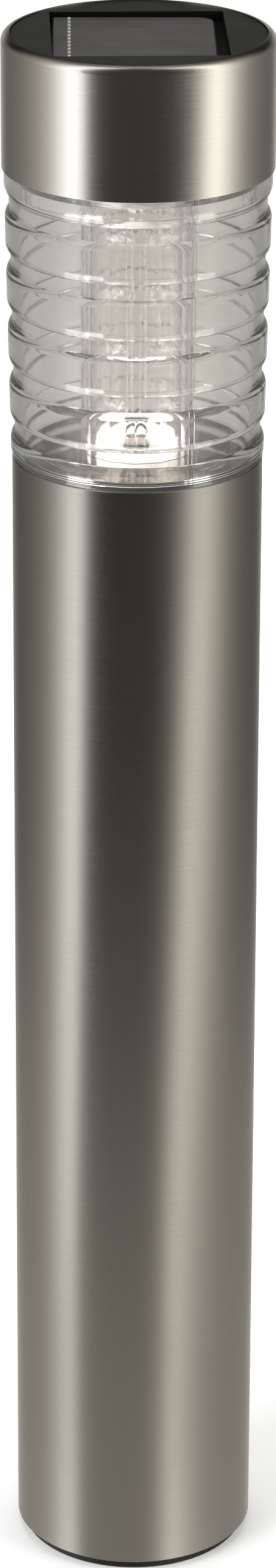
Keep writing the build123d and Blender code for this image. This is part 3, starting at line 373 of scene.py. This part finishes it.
# The studio that mirrors and clear parts see, by azimuth in degrees from the front towards +X
AZIMUTH_STOPS = [
    # backdrop
    (-180, 0.50), (-162, 0.50),
    # left side
    (-150, 0.22), (-142, 0.17), (-131, 0.19), (-110, 0.28), (-95, 0.42), (-82, 0.70),
    # left soft box
    (-71, 1.25), (-63, 1.85), (-57, 2.05), (-51, 1.5), (-45, 0.30),
    # dark front
    (-37, 0.07), (-24, 0.045), (18, 0.045), (30, 0.09), (38, 0.25),
    # right soft box
    (45, 0.75), (52, 1.6), (59, 1.9), (67, 1.35), (79, 0.75),
    # right side
    (95, 0.38), (112, 0.24), (131, 0.18), (142, 0.17), (150, 0.22),
    # backdrop
    (162, 0.50), (180, 0.50),
]
PEAK = 2.2                              # level that the ramp's 1 stands for
HALVES = (-0.1, 0.1)                    # radians: from the left half to the right one
LEAN_ENDS = (1.4, 2.2)                  # radians from the front: there the lean fades out
BOX_MIDDLE = 1.05                       # radians from the front
BOX_TINT = (0.2, 0.5)                   # radians from a box's middle: there its tint fades out
ROOM = (1.0, 0.965, 0.885)
COOL = (0.985, 1.0, 0.985)
WARM = (1.0, 0.975, 0.90)
SEEN_THROUGH_SHARE = (0.5, 0.5, 0.5)
SEEN_THROUGH_EXTRA = (0.235, 0.235, 0.222)


def compass(g, parts):
    """Azimuth in radians from the front, towards +X."""
    return g.math("ARCTAN2", parts["X"], g.math("MULTIPLY", parts["Y"], -1.0))


def near_box(g, azimuth, operation):
    """1 in the soft box to that side, and 0 outside it."""
    off = g.math("ABSOLUTE", g.math(operation, azimuth, BOX_MIDDLE))
    return g.spread(off, BOX_TINT, (1.0, 0.0))


def studio_ring(g, azimuth, lean_left, lean_right):
    """Colour of the studio by azimuth; the boxes stand askew, so each half shifts by its own angle."""
    right = g.spread(azimuth, HALVES)
    left = g.math("SUBTRACT", 1.0, right)
    lean = g.math("ADD", g.math("MULTIPLY", lean_right, right), g.math("MULTIPLY", lean_left, left))
    lean = g.math("MULTIPLY", lean, g.spread(g.math("ABSOLUTE", azimuth), LEAN_ENDS, (1.0, 0.0)))
    azimuth = g.math("SUBTRACT", azimuth, lean)
    turn = g.spread(azimuth, (-math.pi, math.pi))
    ring = g.ramp(turn, [((degrees + 180) / 360, level / PEAK) for degrees, level in AZIMUTH_STOPS])
    ring = g.times(ring, (PEAK, PEAK, PEAK))
    tint = g.mix(near_box(g, azimuth, "ADD"), ROOM, COOL)
    tint = g.mix(near_box(g, azimuth, "SUBTRACT"), tint, WARM)
    return g.times(ring, tint)


def seen_through(g, ring):
    """The flatter studio that the clear parts show."""
    return g.plus(g.times(ring, SEEN_THROUGH_SHARE), SEEN_THROUGH_EXTRA)


def mirrored_ray(g, path):
    """1 for the rays that leave a mirror or a clear part."""
    return g.math("MAXIMUM", path["Is Glossy Ray"], path["Is Transmission Ray"])


# Floor. Its size is in metres, and so is each reach and each stop's place, counted from the axis
FLOOR_SIZE = 14.0
FLOOR_COLOUR = (0.82, 0.82, 0.82)
CAMERA_GLOW_REACH = (0.12, 0.45)
CAMERA_GLOW = (0.20, 0.68)              # near the foot, where the shadow is, and far from it
STUDIO_STOPS = [(0.0, 0.71), (0.04, 0.62), (0.13, 0.51), (0.30, 0.72), (0.50, 1.0)]
GLOW_STOPS = [(0.0, 0.40), (0.13, 0.385), (0.30, 0.26), (0.46, 0.03), (0.60, 0.0)]
GLOW_TINT = (1.0, 0.965, 0.88)
PAINT_REACH = (0.12, 0.30)              # from the world seen through it to the studio painted on it
DEPTH_ENDS = (-1.39, 0.47)              # natural logarithms of the reaches 0.25 and 1.6
FLOOR_LEAN_LEFT = (-0.119, 0.077)
FLOOR_LEAN_RIGHT = (-0.331, 0.214)


def floor_material():
    """Pale and plain. The camera sees it white round the shadow, and mirrors see the studio in it."""
    material, g = new_material("floor_white")
    path = g.add("ShaderNodeLightPath").outputs
    parts = g.split(g.coords())
    square = g.math("ADD", g.math("POWER", parts["X"], 2.0), g.math("POWER", parts["Y"], 2.0))
    radius = g.math("SQRT", square)
    share = g.ramp(radius, STUDIO_STOPS)
    depth = g.math("LOGARITHM", radius, math.e)
    lean_left = g.spread(depth, DEPTH_ENDS, FLOOR_LEAN_LEFT)
    lean_right = g.spread(depth, DEPTH_ENDS, FLOOR_LEAN_RIGHT)
    ring = studio_ring(g, compass(g, parts), lean_left, lean_right)
    ring = g.mix(path["Is Transmission Ray"], ring, seen_through(g, ring))
    painted = g.spread(radius, PAINT_REACH)
    passed = g.add("ShaderNodeBsdfTransparent", {"Color": g.mix(painted, share, (0, 0, 0))}).outputs[0]
    studio = g.times(g.mix(painted, (0, 0, 0), share), ring)
    studio = g.plus(studio, g.times(g.ramp(radius, GLOW_STOPS), GLOW_TINT))
    mirrored = g.add_shader(passed, g.light(studio))
    diffuse = g.add("ShaderNodeBsdfDiffuse", {"Color": FLOOR_COLOUR}).outputs[0]
    glow = g.spread(radius, CAMERA_GLOW_REACH, CAMERA_GLOW)
    white = g.light((1.0, 1.0, 1.0), g.math("MULTIPLY", path["Is Camera Ray"], glow))
    finish_material(g, g.mix_shader(mirrored_ray(g, path), g.add_shader(diffuse, white), mirrored))
    # The floor's glow is for rays that hit it, so it isn't sampled as a lamp
    material.cycles.emission_sampling = "NONE"
    return material


bpy.ops.mesh.primitive_plane_add(size=FLOOR_SIZE)
floor = bpy.context.object
floor.name = "floor"
floor.data.materials.append(floor_material())

# Height in metres of the point on the axis that the lamps are turned to
AIM_HEIGHT = 0.2


def softbox(name, azimuth, height, distance, size, power, colour):
    """Soft lamp aimed at the object, with its azimuth in degrees from the front, towards +X."""
    data = bpy.data.lights.new(name, "AREA")
    data.shape = "RECTANGLE"
    data.size, data.size_y = size
    data.energy = power
    data.color = colour
    lamp = bpy.data.objects.new(name, data)
    scene.collection.objects.link(lamp)
    angle = math.radians(azimuth)
    lamp.location = (distance * math.sin(angle), -distance * math.cos(angle), height)
    aim = Vector((0, 0, AIM_HEIGHT)) - lamp.location
    lamp.rotation_euler = aim.to_track_quat("-Z", "Y").to_euler()
    lamp.visible_glossy = False


softbox("lamp_left", -58, height=0.9, distance=1.5, size=(0.7, 1.4), power=16.0, colour=(0.97, 0.985, 1.0))
softbox("lamp_right", 62, height=0.9, distance=1.5, size=(0.7, 1.4), power=14.0, colour=(1.0, 0.985, 0.95))
softbox("lamp_low", -40, height=0.42, distance=1.3, size=(0.4, 0.4), power=9.5, colour=(1.0, 0.97, 0.96))
softbox("lamp_top", 180, height=1.8, distance=0.5, size=(1.2, 1.2), power=14.0, colour=(1.0, 1.0, 1.0))

# Surroundings. Their limits are parts of the unit vector that points the way a ray goes
WORLD_LEAN_ENDS = (-0.15, 0.05)         # upwards
WORLD_LEAN_LEFT = (-0.17, 0.03)
WORLD_LEAN_RIGHT = (-0.31, 0.17)
BACK = (0.3, 0.7)                       # backwards
ABOVE = (0.08, 0.30)                    # upwards
DIMMED = 0.05
CORE_AZIMUTH = -56.0                    # degrees
CORE_WIDTH = (0.12, 0.24)               # radians
CORE_FOOT = (-0.15, 0.0)                # upwards
CORE_TOP = (0.55, 0.75)                 # upwards
CORE_COLOUR = (4.5, 4.45, 4.3)
PLAIN_STRENGTH = 0.35


def studio_world(name):
    """White to the camera, plain light to the rest, and for mirrors and clear parts the studio.

    The studio is dimmed above the horizon at the back, and for the clear parts its left box has a hot core.
    """
    world = bpy.data.worlds.new(name)
    world.use_nodes = True
    g = Graph(world.node_tree)
    path = g.add("ShaderNodeLightPath").outputs
    parts = g.split(g.add("ShaderNodeTexCoord").outputs["Generated"])
    azimuth = compass(g, parts)
    lean_left = g.spread(parts["Z"], WORLD_LEAN_ENDS, WORLD_LEAN_LEFT)
    lean_right = g.spread(parts["Z"], WORLD_LEAN_ENDS, WORLD_LEAN_RIGHT)
    ring = studio_ring(g, azimuth, lean_left, lean_right)
    high = g.math("MULTIPLY", g.spread(parts["Y"], BACK), g.spread(parts["Z"], ABOVE))
    dim = g.mix(g.spread(high, (0.0, 1.0), (1.0, DIMMED)), (0, 0, 0), (1, 1, 1))
    off = g.math("ABSOLUTE", g.math("SUBTRACT", azimuth, math.radians(CORE_AZIMUTH)))
    below_top = g.spread(parts["Z"], CORE_TOP, (1.0, 0.0))
    above_foot = g.spread(parts["Z"], CORE_FOOT)
    core = g.math("MULTIPLY", g.spread(off, CORE_WIDTH, (1.0, 0.0)), below_top)
    core = g.math("MULTIPLY", core, above_foot)
    through = g.mix(core, g.times(seen_through(g, ring), dim), CORE_COLOUR)
    ring = g.mix(path["Is Transmission Ray"], g.times(ring, dim), through)
    plain = g.light((1.0, 1.0, 1.0), PLAIN_STRENGTH, kind="ShaderNodeBackground")
    white = g.light((1.0, 1.0, 1.0), kind="ShaderNodeBackground")
    studio = g.light(ring, kind="ShaderNodeBackground")
    direct = g.mix_shader(path["Is Camera Ray"], plain, white)
    g.add("ShaderNodeOutputWorld", {"Surface": g.mix_shader(mirrored_ray(g, path), direct, studio)})
    return world


scene.world = studio_world("studio")

# Enough bounces for the light guide inside the lens
MOST_BOUNCES = 24

scene.view_settings.view_transform = "Standard"
scene.cycles.max_bounces = MOST_BOUNCES
scene.cycles.transmission_bounces = MOST_BOUNCES
scene.cycles.transparent_max_bounces = MOST_BOUNCES
